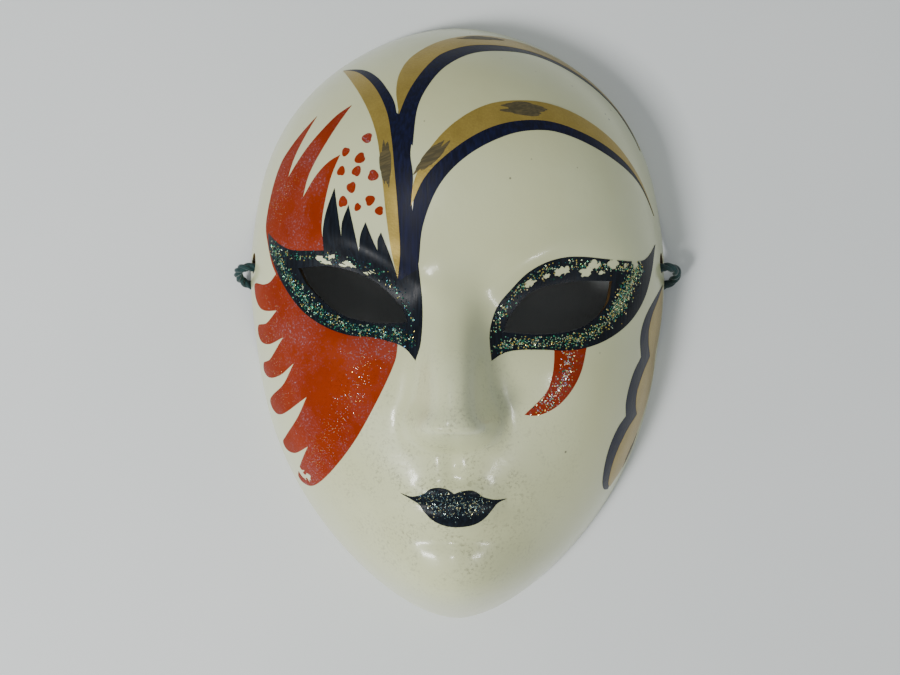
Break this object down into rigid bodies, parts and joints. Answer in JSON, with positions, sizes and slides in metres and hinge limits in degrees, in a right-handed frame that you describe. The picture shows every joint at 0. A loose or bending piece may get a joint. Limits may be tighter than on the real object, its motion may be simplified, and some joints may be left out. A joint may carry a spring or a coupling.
{
  "type": "full-face carnival mask",
  "caption": "Hollow papier-mache full-face carnival mask with almond eye openings, glitter trim and a cord tied through holes at the temples.",
  "frame": {"origin": "middle of the mask's outline, on the flat edge of its rim, with the mask lying face up", "axes": "+X towards the wearer's left temple, +Y from the chin to the crown, +Z out of the face"},
  "size_m": [0.1746, 0.2343, 0.0783],
  "materials": {
    "lacquered_papier_mache": "cream gesso under clear gloss lacquer, with painted ornament; raw brown paper inside",
    "glitter_paint": "dark blue paint set with green, silver and gold glitter",
    "twine": "twisted dark green cord"
  },
  "bodies": {
    "root": {"mask_shell": "lacquered_papier_mache", "left_eye_glitter": "glitter_paint", "right_eye_glitter": "glitter_paint", "lip_glitter": "glitter_paint", "left_cord_loop": "twine", "right_cord_loop": "twine", "left_knot": "twine", "right_knot": "twine", "left_cord_tail": "twine", "right_cord_tail": "twine", "hanging_cord": "twine"}
  },
  "joints": []
}
